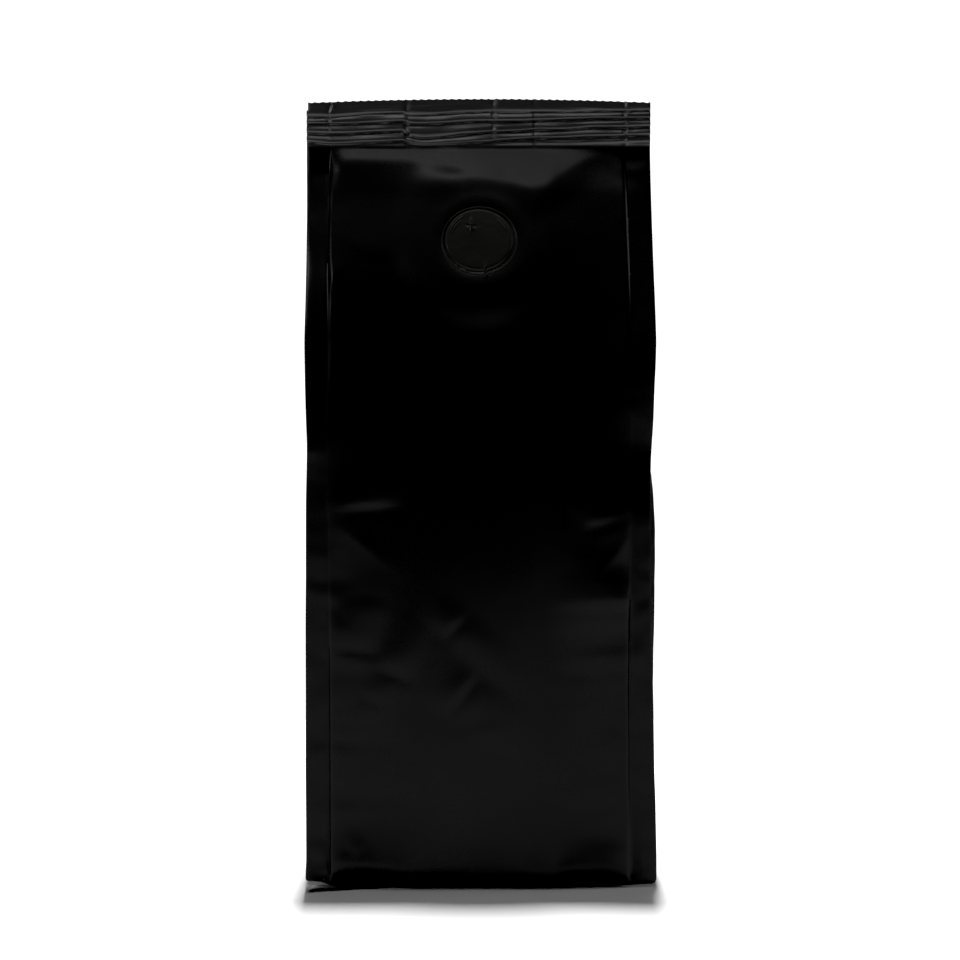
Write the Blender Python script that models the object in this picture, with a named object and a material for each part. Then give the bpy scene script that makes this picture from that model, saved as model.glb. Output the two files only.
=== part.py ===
"""A black coffee bag: side gussets, four welded corner fins, a crimped top seal and a degassing valve.

Run with: blender --background --python part.py

Units are metres and +Z is up. The bag stands shut and full on the floor plane. Its front panel faces
-Y, and the origin is on the floor under the bag's middle. The shut bag is one solid, and the valve is
a second one, seated in a shallow pocket in the front panel.
"""
import math

import bmesh
import bpy
from mathutils import Matrix

# Film: flat widths of the tube of film, and the fins that weld its corners
PANEL_WIDTH = 0.0810
FIN_WIDTH = 0.0062
GUSSET_WIDTH = 0.0500
FIN_THICKNESS = 0.0004

# Heights above the floor
BAG_HEIGHT = 0.2135
SEAL_FOOT = 0.2005
SHOULDER = 0.1260
CORNER_DEPTH = 0.0244

# How far the filled panels swell past the corners, and how they round off under the bag
FRONT_SWELL = 0.0045
GUSSET_SWELL = 0.0030
BASE_RADIUS = 0.0045
BASE_CORNER_RADIUS = 0.0016
SHOULDER_POWER = 1.9

# Top seal: corrugated by the crimping jaws, cut with small teeth, a little higher in the middle
SEAL_THICKNESS = 0.0010
CRIMP_COUNT = 4
CRIMP_PITCH = 0.0026
CRIMP_DEPTH = 0.0006
SEAL_ARCH = 0.0011
TOOTH_PITCH = 0.0020
TOOTH_DEPTH = 0.0005

# Back seam: a fin of welded film that lies flat on the back panel, towards -X from its root
SEAM_ROOT = 0.0038
SEAM_WIDTH = 0.0110
SEAM_THICKNESS = 0.0006
SEAM_EDGE = 0.0003

# Degassing valve on the front panel
VALVE_HEIGHT = 0.1741
VALVE_RADIUS = 0.0102
VALVE_THICKNESS = 0.0016
VALVE_PROUD = 0.0004
VALVE_BEVEL = 0.0003
VALVE_SIDES = 40
SEAT_GAP = 0.0003
HALO_RISE = 0.0006
HALO_RADIUS = 0.0150

# Dents in the film: name, middle across, height, half width, half height, depth, slope of the dent
DENTS = (
    ("upper_left", -0.0275, 0.1010, 0.0130, 0.0048, 0.0012, -0.10),
    ("upper_right", 0.0325, 0.0985, 0.0075, 0.0042, 0.0010, 0.25),
    ("middle", 0.0080, 0.1215, 0.0070, 0.0028, 0.0006, 0.15),
    ("lower_left", -0.0300, 0.0715, 0.0100, 0.0050, 0.0010, 0.10),
    ("lower_middle", -0.0055, 0.0570, 0.0045, 0.0150, 0.0007, 0.30),
    ("lower_right", 0.0355, 0.0530, 0.0055, 0.0040, 0.0007, 0.00),
)

# Mesh density
PANEL_COLUMNS = 24
GUSSET_HALF_COLUMNS = 6
BODY_ROWS = 36
BASE_TURNS = (0.0, 30.0, 60.0)

HALF_PANEL = PANEL_WIDTH / 2
HALF_SEAL = SEAL_THICKNESS / 2
FRONT, BACK = -1, 1
LEFT, RIGHT = -1, 1


def smooth_step(low, high, value):
    """0 below low, 1 above high and a smooth S between them."""
    t = min(max((value - low) / (high - low), 0.0), 1.0)
    return t * t * (3 - 2 * t)


def corner_depth(z):
    """Half depth of the bag at its corner fins: even in the body, closing to the seal above."""
    s = max(z - SHOULDER, 0.0) / (SEAL_FOOT - SHOULDER)
    return HALF_SEAL + (CORNER_DEPTH - HALF_SEAL) * (1 - s ** SHOULDER_POWER)


def panel_swell(z):
    """How far the middle of a panel stands past its corners at a height."""
    foot = smooth_step(-0.010, 0.024, z)
    top = 1 - 0.75 * smooth_step(0.085, 0.160, z) - 0.25 * smooth_step(0.160, SEAL_FOOT, z)
    return foot * top


def gusset_fold(z):
    """How far the gusset's middle crease is folded in, from the film's fixed width."""
    half = GUSSET_WIDTH / 2
    folded = math.sqrt(max(half ** 2 - corner_depth(z) ** 2, 0.0))
    return folded * smooth_step(SHOULDER - 0.012, SHOULDER + 0.030, z)


def gusset_swell(z):
    """How far the filled gusset bulges out below the shoulder."""
    return GUSSET_SWELL * smooth_step(-0.006, 0.024, z) * (1 - smooth_step(0.095, 0.140, z))


def base_radius(u):
    """Radius under the bag at u, from -1 to 1 along a panel: wide in the middle, tight at the fins."""
    return BASE_CORNER_RADIUS + (BASE_RADIUS - BASE_CORNER_RADIUS) * (1 - u ** 4)


def height_and_inset(level, radius):
    """Height of a level, and how far the film has turned in under the bag there."""
    kind, value = level
    if kind == "turn":
        angle = math.radians(value)
        return radius * (1 - math.cos(angle)), radius * (1 - math.sin(angle))
    return radius + (SEAL_FOOT - radius) * value, 0.0


def seam_relief(x):
    """Thickness of the folded seam on the back panel at x."""
    middle = SEAM_ROOT - SEAM_WIDTH / 2
    return SEAM_THICKNESS * (abs(x - middle) < SEAM_WIDTH / 2)


def dent_depth(x, z):
    """Depth of all the dents at a place on the front panel."""
    total = 0.0
    for _, middle, height, half_width, half_height, depth, slope in DENTS:
        across = (x - middle) / half_width
        up = (z - height - slope * (x - middle)) / half_height
        total += depth * math.exp(-(across ** 2 + up ** 2))
    return total


def valve_halo(x, z):
    """The film stands up a little round the valve that is welded behind it."""
    return HALO_RISE * math.exp(-(x ** 2 + (z - VALVE_HEIGHT) ** 2) / HALO_RADIUS ** 2)


def panel_point(side, x, level):
    """A point of the front or back panel."""
    u = x / HALF_PANEL
    z, inset = height_and_inset(level, base_radius(u))
    corner_inset = height_and_inset(level, BASE_CORNER_RADIUS)[1]
    edge_fade = 1 - u ** 6
    y = corner_depth(z) - inset
    if side == FRONT:
        y += FRONT_SWELL * panel_swell(z) * (1 - abs(u) ** 2.2)
        y += (valve_halo(x, z) - dent_depth(x, z)) * edge_fade
    else:
        y += (FRONT_SWELL - SEAM_THICKNESS) * panel_swell(z) * (1 - abs(u) ** 2.2)
        y += seam_relief(x) * smooth_step(0.0, 0.004, z)
    return x * (1 - corner_inset / HALF_PANEL), side * y, z


def gusset_point(side, column, level):
    """A point of a side gusset, whose middle crease is column 0 and whose front half is negative."""
    c = column / GUSSET_HALF_COLUMNS
    z, inset = height_and_inset(level, base_radius(c))
    corner_z, corner_inset = height_and_inset(level, BASE_CORNER_RADIUS)
    reach = corner_depth(corner_z) - FIN_THICKNESS - corner_inset
    x = HALF_PANEL - inset - gusset_fold(z) * (1 - abs(c)) + gusset_swell(z) * (1 - c * c)
    return side * x, c * reach, z


def tip_point(side, face, skin, level):
    """A corner of a fin's free edge: on its outer skin, in line with the panel, or its inner skin."""
    z, inset = height_and_inset(level, BASE_CORNER_RADIUS)
    depth = corner_depth(z) - inset - FIN_THICKNESS * (skin == "inner")
    return side * (HALF_PANEL + FIN_WIDTH), face * depth, z


def even_steps(low, high, count):
    """count + 1 values evenly spaced from low to high."""
    return [low + (high - low) * i / count for i in range(count + 1)]


def panel_columns(side):
    """Places across a panel. The back panel has a close pair at each edge of its seam."""
    columns = even_steps(-HALF_PANEL, HALF_PANEL, PANEL_COLUMNS)
    if side == BACK:
        for edge in (SEAM_ROOT - SEAM_WIDTH, SEAM_ROOT):
            columns = [x for x in columns if abs(x - edge) > 0.0012]
            columns += [edge - SEAM_EDGE / 2, edge + SEAM_EDGE / 2]
    return sorted(columns)


def ring_keys():
    """Names of the points round the bag, anticlockwise from above, from the front panel's left edge."""
    keys = [("panel", FRONT, x) for x in panel_columns(FRONT)]
    keys += side_keys(RIGHT, (FRONT, BACK))
    keys += [("panel", BACK, x) for x in reversed(panel_columns(BACK))]
    keys += side_keys(LEFT, (BACK, FRONT))
    return keys


def side_keys(side, faces):
    """Points of one side: out and back round the first fin, along the gusset, round the second fin."""
    first, second = faces
    gusset = [("gusset", side, second * i) for i in range(-GUSSET_HALF_COLUMNS, GUSSET_HALF_COLUMNS + 1)]
    return [("tip", side, first, "outer"), ("tip", side, first, "inner"), *gusset,
            ("tip", side, second, "inner"), ("tip", side, second, "outer")]


def key_point(key, level):
    """Where a named point of the ring is at a level of the body."""
    kind, *place = key
    makers = {"panel": panel_point, "gusset": gusset_point, "tip": tip_point}
    return makers[kind](*place, level)


def crimp_offset(height):
    """The seal's corrugation, in Y, at a height above its foot."""
    crimped = CRIMP_COUNT * CRIMP_PITCH
    wave = math.sin(2 * math.pi * height / CRIMP_PITCH)
    return CRIMP_DEPTH / 2 * wave * (0 < height < crimped)


def arch(x):
    """Extra height of the cut edge at x."""
    return SEAL_ARCH * (1 - (x / (HALF_PANEL + FIN_WIDTH)) ** 2)


def seal_point(key, height):
    """A named point on the flat seal, at a height above its foot."""
    x, y, _ = key_point(key, ("wall", 1.0))
    rise = height / (BAG_HEIGHT - SEAL_FOOT)
    z = SEAL_FOOT + height + (arch(x) - SEAL_ARCH) * rise
    return x, y + crimp_offset(height), z


def seal_heights():
    """Heights of the seal's rows: four to each wave of the crimp, then the plain cut band."""
    quarter = CRIMP_PITCH / 4
    rows = [quarter * i for i in range(1, 4 * CRIMP_COUNT + 1)]
    return rows + [BAG_HEIGHT - SEAL_FOOT + TOOTH_DEPTH]


def bridge(bm, lower, upper, keys):
    """Quads between two rings along the points that both of them have."""
    for here, following in zip(keys, keys[1:] + keys[:1]):
        bm.faces.new((lower[here], lower[following], upper[following], upper[here]))


def close_fin_feet(bm, ring):
    """The straight cut under each fin."""
    for side in (LEFT, RIGHT):
        for face in (FRONT, BACK):
            corners = (("panel", face, side * HALF_PANEL), ("tip", side, face, "outer"),
                       ("tip", side, face, "inner"), ("gusset", side, face * GUSSET_HALF_COLUMNS))
            bm.faces.new([ring[key] for key in corners])


def close_gusset_slots(bm, ring):
    """Under the seal, where the two halves of each folded gusset and their fins come together."""
    for side in (LEFT, RIGHT):
        halves = []
        for face in (FRONT, BACK):
            fold = [("gusset", side, face * i) for i in range(GUSSET_HALF_COLUMNS, -1, -1)]
            halves.append([ring[key] for key in [("tip", side, face, "inner"), *fold]])
        for i in range(len(halves[0]) - 1):
            front, back = halves[0][i:i + 2], halves[1][i:i + 2]
            corners = front + back[::-1]
            bm.faces.new(dict.fromkeys(corners))


def bag_mesh():
    """The whole outside of the bag, lofted from the base up to the cut edge."""
    bm = bmesh.new()
    keys = ring_keys()
    finless = [key for key in keys if key[0] != "tip"]
    outside = [key for key in keys if key[0] != "gusset"]
    levels = [("turn", angle) for angle in BASE_TURNS]
    levels += [("wall", t) for t in even_steps(0.0, 1.0, BODY_ROWS)]

    rings = []
    for number, level in enumerate(levels):
        ring_at = finless if number < len(BASE_TURNS) - 1 else keys
        rings.append({key: bm.verts.new(key_point(key, level)) for key in ring_at})
    for number, (lower, upper) in enumerate(zip(rings, rings[1:])):
        bridge(bm, lower, upper, finless if number < len(BASE_TURNS) - 1 else keys)
    bm.faces.new([rings[0][key] for key in finless])
    close_fin_feet(bm, rings[len(BASE_TURNS) - 1])
    close_gusset_slots(bm, rings[-1])

    below = rings[-1]
    for height in seal_heights():
        above = {key: bm.verts.new(seal_point(key, height)) for key in outside}
        bridge(bm, below, above, outside)
        below = above
    bm.faces.new([below[key] for key in outside])
    bmesh.ops.recalc_face_normals(bm, faces=bm.faces)
    return mesh_from(bm, "bag")


def mesh_from(bm, name):
    """A mesh data block from a bmesh, which is freed."""
    mesh = bpy.data.meshes.new(name)
    bm.to_mesh(mesh)
    bm.free()
    return mesh


def tooth_cutter_mesh():
    """What the toothed knife takes off: everything over a zigzag line that follows the arch."""
    bm = bmesh.new()
    reach = HALF_PANEL + FIN_WIDTH + TOOTH_PITCH
    count = 2 * round(reach / TOOTH_PITCH)
    step = TOOTH_PITCH / 2
    outline = []
    for i in range(-count, count + 1):
        z = BAG_HEIGHT - SEAL_ARCH + arch(i * step) - TOOTH_DEPTH * (i % 2)
        outline.append((i * step, -2 * SEAL_THICKNESS, z))
    roof = BAG_HEIGHT + 4 * TOOTH_DEPTH
    outline += [(count * step, -2 * SEAL_THICKNESS, roof), (-count * step, -2 * SEAL_THICKNESS, roof)]
    face = bm.faces.new([bm.verts.new(point) for point in outline])
    pushed = bmesh.ops.extrude_face_region(bm, geom=[face])
    moved = [item for item in pushed["geom"] if isinstance(item, bmesh.types.BMVert)]
    bmesh.ops.translate(bm, verts=moved, vec=(0, 4 * SEAL_THICKNESS, 0))
    bmesh.ops.recalc_face_normals(bm, faces=bm.faces)
    return mesh_from(bm, "tooth_cutter")


def valve_place():
    """Where the valve sits and how it leans back with the panel: its +Z points out of the bag."""
    step = 0.002
    seat_y = front_line(VALVE_HEIGHT)
    lean = math.atan2(front_line(VALVE_HEIGHT + step) - front_line(VALVE_HEIGHT - step), 2 * step)
    turn = Matrix.Rotation(math.radians(90) - lean, 4, "X")
    return Matrix.Translation((0, seat_y, VALVE_HEIGHT)) @ turn


def front_line(z):
    """Y of the front panel's middle line at a height."""
    wall = (z - BASE_RADIUS) / (SEAL_FOOT - BASE_RADIUS)
    return panel_point(FRONT, 0.0, ("wall", wall))[1]


def disc_mesh(name, radius, low, high, bevel=0.0):
    """A round plate between two heights, with its rims bevelled if asked."""
    bm = bmesh.new()
    lift = Matrix.Translation((0, 0, (low + high) / 2))
    bmesh.ops.create_cone(bm, cap_ends=True, segments=VALVE_SIDES, radius1=radius, radius2=radius,
                          depth=high - low, matrix=lift)
    if bevel:
        rims = [edge for edge in bm.edges if abs(edge.verts[0].co.z - edge.verts[1].co.z) < 1e-9]
        bmesh.ops.bevel(bm, geom=rims, offset=bevel, segments=2, profile=0.5, affect="EDGES")
    return mesh_from(bm, name)


def finish(name, colour, roughness, coat):
    """A Principled material."""
    material = bpy.data.materials.new(name)
    material.use_nodes = True
    shader = material.node_tree.nodes["Principled BSDF"]
    shader.inputs["Base Color"].default_value = (*colour, 1)
    shader.inputs["Roughness"].default_value = roughness
    shader.inputs["Coat Weight"].default_value = coat
    return material


def add_object(mesh, collection, material=None):
    """Link a mesh as an object, shaded smooth but sharp at its folds."""
    thing = bpy.data.objects.new(mesh.name, mesh)
    collection.objects.link(thing)
    if material:
        mesh.materials.append(material)
        mesh.shade_smooth()
        mesh.set_sharp_from_angle(angle=math.radians(40))
    return thing


def add_cutter(mesh, collection, target):
    """A cutter that takes its shape out of the target."""
    cutter = add_object(mesh, collection)
    cutter.hide_render = True
    cutter.display_type = "WIRE"
    cut = target.modifiers.new(mesh.name, "BOOLEAN")
    cut.operation = "DIFFERENCE"
    cut.solver = "EXACT"
    cut.object = cutter
    return cutter


def new_collection(name):
    """A collection in the scene."""
    collection = bpy.data.collections.new(name)
    bpy.context.scene.collection.children.link(collection)
    return collection


def main():
    """Clear the scene and build the bag and its valve."""
    for thing in list(bpy.data.objects):
        bpy.data.objects.remove(thing)
    parts = new_collection("coffee_bag")
    cutters = new_collection("cutters")

    film = finish("black_film", (0.006, 0.006, 0.006), 0.40, 0.1)
    bag = add_object(bag_mesh(), parts, film)
    add_cutter(tooth_cutter_mesh(), cutters, bag)

    seat = valve_place()
    top = VALVE_PROUD
    bottom = top - VALVE_THICKNESS
    pocket = disc_mesh("valve_pocket", VALVE_RADIUS + SEAT_GAP, bottom - SEAT_GAP, top + VALVE_THICKNESS)
    add_cutter(pocket, cutters, bag).matrix_world = seat

    plastic = finish("valve_plastic", (0.008, 0.008, 0.008), 0.45, 0.0)
    valve = add_object(disc_mesh("degassing_valve", VALVE_RADIUS, bottom, top, VALVE_BEVEL), parts, plastic)
    valve.matrix_world = seat


main()
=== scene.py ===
"""Coffee bag: black film with side gussets and welded corner fins, a crimped top seal and a valve.

The film starts as the flat-sided tube it was made from. A cloth simulation folds its gussets in, closes
its top and swells it over its filling. The seal is then crimped and cut, the valve's seat is pressed in,
and the dents of handling are added. The valve, the back seam and the folds of the base are pieces of
their own.
"""
import math

import bmesh
import bpy
import numpy as np
from bpy.props import FloatProperty, FloatVectorProperty, PointerProperty
from mathutils import Matrix, Vector, noise
from mathutils.bvhtree import BVHTree


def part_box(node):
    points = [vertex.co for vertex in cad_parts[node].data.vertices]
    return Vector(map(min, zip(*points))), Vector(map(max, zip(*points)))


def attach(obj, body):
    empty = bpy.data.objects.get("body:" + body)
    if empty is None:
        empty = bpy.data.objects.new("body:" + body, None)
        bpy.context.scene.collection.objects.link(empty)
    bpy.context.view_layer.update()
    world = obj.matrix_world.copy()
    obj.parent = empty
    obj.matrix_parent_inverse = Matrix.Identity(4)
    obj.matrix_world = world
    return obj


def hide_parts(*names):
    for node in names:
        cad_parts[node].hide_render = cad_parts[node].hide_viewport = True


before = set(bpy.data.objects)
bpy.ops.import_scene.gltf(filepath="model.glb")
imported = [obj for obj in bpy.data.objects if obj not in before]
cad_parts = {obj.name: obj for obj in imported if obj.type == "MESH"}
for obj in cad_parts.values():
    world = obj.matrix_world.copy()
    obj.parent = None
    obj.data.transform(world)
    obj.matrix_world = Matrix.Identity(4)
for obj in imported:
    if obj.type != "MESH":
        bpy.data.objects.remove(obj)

bl_info = {
    "name": "Coffee Bag",
    "version": (1, 0, 0),
    "blender": (4, 5, 0),
    "location": "3D View > Sidebar > Coffee Bag",
    "description": "Models a filled side-gusset coffee bag of black film",
    "category": "Add Mesh",
}

BAG_LOW, BAG_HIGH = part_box("bag")
VALVE_LOW, VALVE_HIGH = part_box("degassing_valve")
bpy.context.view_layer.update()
SIM_SCALE = 10.0
TINY = 1e-5
FRONT, BACK = -1, 1


# ---------------------------------------------------------------- settings

class BagSizes(bpy.types.PropertyGroup):
    """Sizes of the tube of film and its top seal."""
    fin: FloatProperty(name="Fin Width", description="Width of the welded corner fins",
                       default=0.0062, unit="LENGTH")
    fin_gap: FloatProperty(name="Fin Thickness", description="Thickness of a corner fin",
                           default=0.0005, unit="LENGTH")
    gusset: FloatProperty(name="Gusset Width", description="Width of the side gussets",
                          default=0.0500, unit="LENGTH")
    seal: FloatProperty(name="Seal Height", description="Height of the crimped top seal",
                        default=0.0130, unit="LENGTH")
    slack: FloatProperty(name="Slack", description="Film that the closing shoulder takes up",
                         default=0.0055, unit="LENGTH")
    arch: FloatProperty(name="Seal Arch", description="Rise of the cut edge in its middle",
                        default=0.0011, unit="LENGTH")
    crimp_depth: FloatProperty(name="Crimp Depth", description="Depth of the seal's grooves",
                               default=0.00060, unit="LENGTH")
    tooth: FloatProperty(name="Tooth Depth", description="Depth of the cut edge's teeth",
                         default=0.00050, unit="LENGTH")
    pressure: FloatProperty(name="Fill Pressure", description="How hard the filling swells the film",
                            default=1.0)
    stiffness: FloatProperty(name="Film Stiffness", description="Resistance of the film to bending",
                             default=20.0)


class ValveSizes(bpy.types.PropertyGroup):
    """Sizes of the degassing valve and its seat."""
    foot: FloatProperty(name="Foot Radius", description="Radius where the valve's rim meets the film",
                        default=0.0104, unit="LENGTH")
    lean: FloatProperty(name="Valve Lean", description="How far the valve leans back with the panel",
                        default=math.radians(24.17), unit="ROTATION")
    proud: FloatProperty(name="Proud", description="Height of the film's plane over the valve's middle",
                         default=0.0004, unit="LENGTH")
    body: FloatProperty(name="Body Depth", description="Depth of the valve's body behind its face",
                        default=0.0006, unit="LENGTH")


class FilmColours(bpy.types.PropertyGroup):
    """Colours of the film and the valve."""
    film: FloatVectorProperty(name="Film", description="Colour of the film", subtype="COLOR", size=4,
                              default=(0.0030, 0.0030, 0.0032, 1.0))
    worn: FloatVectorProperty(name="Worn Film", description="Colour of rubbed film", subtype="COLOR",
                              size=4, default=(0.0090, 0.0090, 0.0088, 1.0))
    valve: FloatVectorProperty(name="Valve", description="Colour of the valve", subtype="COLOR", size=4,
                               default=(0.0080, 0.0080, 0.0070, 1.0))
    floor: FloatVectorProperty(name="Floor", description="Colour of the floor", subtype="COLOR", size=4,
                               default=(0.88, 0.88, 0.88, 1.0))
    # Painted shade: the floor's colour as the film reflects it, darker than the floor that the camera sees
    floor_shaded_for_reflections: FloatVectorProperty(name="Floor in Reflections", description="Colour that the film reflects",
                                   subtype="COLOR", size=4, default=(0.31, 0.31, 0.31, 1.0))


SETTINGS = {"bag_sizes": BagSizes, "bag_valve": ValveSizes, "bag_colours": FilmColours}


# ---------------------------------------------------------------- small tools

def deselect():
    """Leave edit mode and deselect every object."""
    if bpy.context.object and bpy.context.object.mode != "OBJECT":
        bpy.ops.object.mode_set(mode="OBJECT")
    bpy.ops.object.select_all(action="DESELECT")


def pick(piece):
    """Make a piece the only selected and active object."""
    deselect()
    piece.select_set(True)
    bpy.context.view_layer.objects.active = piece


def add_box(name, low, high):
    """A cube primitive between two corners, with its size and place in its mesh."""
    deselect()
    low, high = Vector(low), Vector(high)
    bpy.ops.mesh.primitive_cube_add(size=1, location=(low + high) / 2, scale=high - low)
    bpy.ops.object.transform_apply(location=True, rotation=True, scale=True)
    piece = bpy.context.object
    piece.name = piece.data.name = name
    return piece


def edit_selected(piece, test, kind="FACE"):
    """Enter edit mode with only the vertices, edges or faces that pass the test selected."""
    pick(piece)
    bpy.ops.object.mode_set(mode="EDIT")
    bpy.ops.mesh.select_mode(type=kind)
    bpy.ops.mesh.select_all(action="DESELECT")
    bm = bmesh.from_edit_mesh(piece.data)
    for item in {"VERT": bm.verts, "EDGE": bm.edges, "FACE": bm.faces}[kind]:
        if test(item):
            item.select_set(True)
    bm.select_flush_mode()
    bmesh.update_edit_mesh(piece.data)


def bisect_at(piece, axis, places, test=None):
    """Cut loops through a piece, or through its faces that pass the test, at places along an axis."""
    normal = Vector((axis == "x", axis == "y", axis == "z"))
    edit_selected(piece, test or (lambda face: True))
    for place in places:
        bm = bmesh.from_edit_mesh(piece.data)
        for face in bm.faces:
            face.select_set(test is None or test(face))
        bmesh.update_edit_mesh(piece.data)
        bpy.ops.mesh.bisect(plane_co=normal * place, plane_no=normal, threshold=1e-6)
    bpy.ops.object.mode_set(mode="OBJECT")


def steps(low, high, count):
    """The places inside a span that cut it into count equal parts."""
    return [low + (high - low) * i / count for i in range(1, count)]


def read_points(mesh):
    """A mesh's points as an array."""
    points = np.empty(len(mesh.vertices) * 3)
    mesh.vertices.foreach_get("co", points)
    return points.reshape(-1, 3)


def write_points(mesh, points):
    """Put an array of points back in a mesh."""
    mesh.vertices.foreach_set("co", points.astype(np.float32).ravel())
    mesh.update()


def read_normals(mesh):
    """The normals at a mesh's points."""
    normals = np.empty(len(mesh.vertices) * 3)
    mesh.vertices.foreach_get("normal", normals)
    return normals.reshape(-1, 3)


def read_spots(mesh, name="flat"):
    """A stored place of each point, such as where it was on the flat-sided tube."""
    spots = np.empty(len(mesh.vertices) * 3, np.float32)
    mesh.attributes[name].data.foreach_get("vector", spots)
    return spots.reshape(-1, 3).astype(float)


def store_spots(mesh, spots, name="flat"):
    """Store a place for each point."""
    spot = mesh.attributes.get(name) or mesh.attributes.new(name, "FLOAT_VECTOR", "POINT")
    spot.data.foreach_set("vector", spots.astype(np.float32).ravel())


def smooth(low, high, value):
    """0 at low, 1 at high and a smooth S between them, on arrays."""
    t = np.clip((value - low) / (high - low), 0, 1)
    return t * t * (3 - 2 * t)


def noise_at(points, scale, seed):
    """Smooth noise from -1 to 1 at each point; scale is the size of its lumps."""
    shift = Vector((seed * 7.31, seed * 3.17, seed * 5.53))
    return np.array([noise.noise(Vector(p) / scale + shift) for p in points])


def noise_along(values, scale, seed):
    """Smooth noise from -1 to 1 along one direction."""
    return noise_at(np.stack([values, 0 * values, 0 * values], axis=-1), scale, seed)


def finish_piece(piece, material, node=None, angle=60):
    """Shade a piece, give it its material and hand it over."""
    pick(piece)
    bpy.ops.object.shade_smooth_by_angle(angle=math.radians(angle))
    piece.data.materials.clear()
    piece.data.materials.append(material)
    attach(piece, "root")
    if node:
        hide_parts(node)


# ---------------------------------------------------------------- the tube of film

class Tube:
    """The flat sizes of the film, worked out from the frame and the settings."""

    def __init__(self, sizes):
        self.fin = sizes.fin
        self.gap = sizes.fin_gap
        self.half_panel = BAG_HIGH.x - sizes.fin
        self.half_gusset = sizes.gusset / 2
        self.inner = self.half_gusset - sizes.fin_gap
        self.top = BAG_HIGH.z
        self.seal = sizes.seal
        self.seal_foot = BAG_HIGH.z - sizes.seal
        self.flat_foot = self.seal_foot + sizes.slack
        self.flat_top = self.flat_foot + sizes.seal


COLUMNS = 39
FIN_COLUMNS = 3
GUSSET_COLUMNS = 24
ROWS = 82
SEAL_ROWS = 3
BASE_LIFT = 0.0005


def cut_tube(sizes):
    """The tube of film: a tall box with an open top and a fin at each corner, cut into a fine grid."""
    tube = Tube(sizes)
    film = add_box("bag_film", (-tube.half_panel, -tube.half_gusset, 0),
                   (tube.half_panel, tube.half_gusset, tube.flat_top))
    edit_selected(film, lambda face: face.normal.z > 0.5)
    bpy.ops.mesh.delete(type="FACE")
    bisect_at(film, "y", (-tube.inner, tube.inner))

    for side in (-1, 1):
        edit_selected(film, lambda face: face.normal.x * side > 0.5
                      and abs(face.calc_center_median().y) > tube.inner)
        bpy.ops.mesh.extrude_region_move(TRANSFORM_OT_translate={"value": (side * tube.fin, 0, 0)})
    edit_selected(film, lambda face: face.normal.z > 0.5)
    bpy.ops.mesh.delete(type="FACE")
    bpy.ops.object.mode_set(mode="OBJECT")

    fins = steps(tube.half_panel, tube.half_panel + tube.fin, FIN_COLUMNS)
    bisect_at(film, "x", steps(-tube.half_panel, tube.half_panel, COLUMNS))
    bisect_at(film, "x", [side * x for x in fins for side in (-1, 1)])
    bisect_at(film, "y", steps(-tube.inner, tube.inner, GUSSET_COLUMNS))
    bisect_at(film, "z", steps(0, tube.flat_foot, ROWS) + [tube.flat_foot])
    bisect_at(film, "z", steps(tube.flat_foot, tube.flat_top, SEAL_ROWS))

    fix_order(film)
    store_spots(film.data, read_points(film.data))
    return film, tube


def fix_order(piece):
    """Put a mesh's points and faces in a fixed order, so that its simulation always runs the same."""
    points = np.round(read_points(piece.data), 6)
    order = np.lexsort(points.T)
    rank = np.empty(len(order), int)
    rank[order] = np.arange(len(order))
    faces = []
    for polygon in piece.data.polygons:
        corners = [int(rank[index]) for index in polygon.vertices]
        first = corners.index(min(corners))
        faces.append(tuple(corners[first:] + corners[:first]))
    old = piece.data
    piece.data = bpy.data.meshes.new("ordered")
    piece.data.from_pydata([tuple(point) for point in points[order]], [], sorted(faces))
    bpy.data.meshes.remove(old)
    piece.data.name = piece.name


def base_turn(u):
    """Radius of the bend between a face and the base, at u from -1 to 1 across the front or back."""
    return 0.0003 + 0.0019 * (1 - np.abs(u) ** 2)


def closed_places(flat, tube):
    """Where the closed bag holds its film: the seal's rows and the base. Also which points are held."""
    x, y, z = flat.T
    place = flat.copy()
    side, face = np.sign(x), np.sign(y)
    on_fin = np.abs(x) > tube.half_panel + TINY
    on_gusset = (np.abs(np.abs(x) - tube.half_panel) < TINY) & (np.abs(y) < tube.inner + TINY)
    on_panel = (np.abs(y) > tube.half_gusset - TINY) & (np.abs(x) < tube.half_panel - TINY)

    seal = z > tube.flat_foot - TINY
    place[seal, 2] = z[seal] - tube.flat_foot + tube.seal_foot
    place[seal, 1] = face[seal] * 0.0003
    place[seal & on_fin & (np.abs(y) < tube.half_gusset - TINY), 1] = 0
    folded = seal & on_gusset
    place[folded, 0] = (side * (tube.half_panel - (tube.inner - np.abs(y))))[folded]
    place[folded, 1] = 0

    base = z < TINY
    turn = base_turn(np.clip(x / tube.half_panel, -1, 1))
    place[base, 0] = (x * (1 - base_turn(1.0) / tube.half_panel))[base]
    place[base, 1] = (y * (1 - turn / tube.half_gusset))[base]
    place[base, 2] = BASE_LIFT
    place[base & on_fin, 0] = (x - side * base_turn(1.0))[base & on_fin]
    place[base & on_fin, 2] = (0.0011 - 0.0004 * side)[base & on_fin]
    bend = on_panel & (z > TINY) & (z < turn * 1.5)
    angle = z / turn
    place[bend, 1] = (y - face * turn * (1 - np.sin(angle)))[bend]
    place[bend, 2] = (BASE_LIFT + turn * (1 - np.cos(angle)))[bend]
    return place, seal | base | bend


def set_group(piece, name, weights):
    """A vertex group with a weight for each point."""
    group = piece.vertex_groups.new(name=name)
    for index, weight in enumerate(weights):
        group.add([index], float(weight), "REPLACE")


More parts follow.
